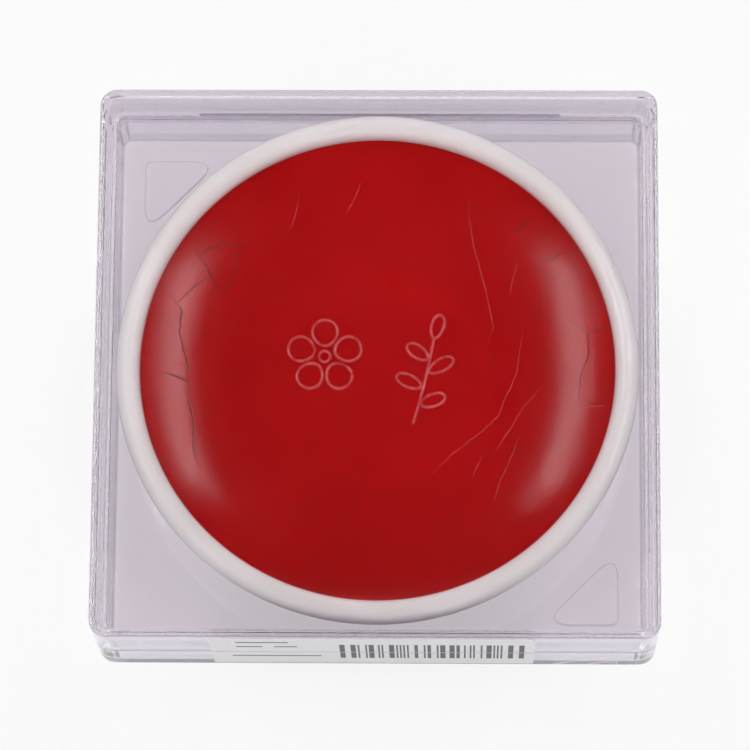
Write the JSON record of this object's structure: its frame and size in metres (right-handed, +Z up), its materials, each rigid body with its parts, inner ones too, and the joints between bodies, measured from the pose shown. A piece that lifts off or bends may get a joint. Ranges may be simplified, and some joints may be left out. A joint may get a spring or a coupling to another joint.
{
  "type": "watercolor pigment dish",
  "caption": "Round white dish of dried red watercolor pigment in a clear square case with a lift-off lid and a paper label.",
  "frame": {"origin": "centre of the case's underside", "axes": "+Z up through the dish and the lid, -Y towards the side with the label, +X to the right seen from that side"},
  "size_m": [0.098, 0.0981, 0.0253],
  "materials": {
    "clear_case": "clear polystyrene, polished, faint violet grey",
    "porcelain": "white glazed porcelain, opaque",
    "pigment": "dried gum-bound pigment, satin, finely cracked",
    "label_paper": "smooth white label paper"
  },
  "bodies": {
    "base": {"case_base": "clear_case", "label_lower": "label_paper"},
    "lid": {"case_lid": "clear_case", "label_upper": "label_paper"},
    "dish": {"dish": "porcelain", "pigment_cake": "pigment"}
  },
  "joints": [
    {"name": "lid_lift", "type": "slide", "parent": "base", "child": "lid", "axis": [0, 0, 1], "range_m": [0, 0.03]},
    {"name": "dish_lift", "type": "slide", "parent": "base", "child": "dish", "axis": [0, 0, 1], "range_m": [0, 0.0039]}
  ]
}
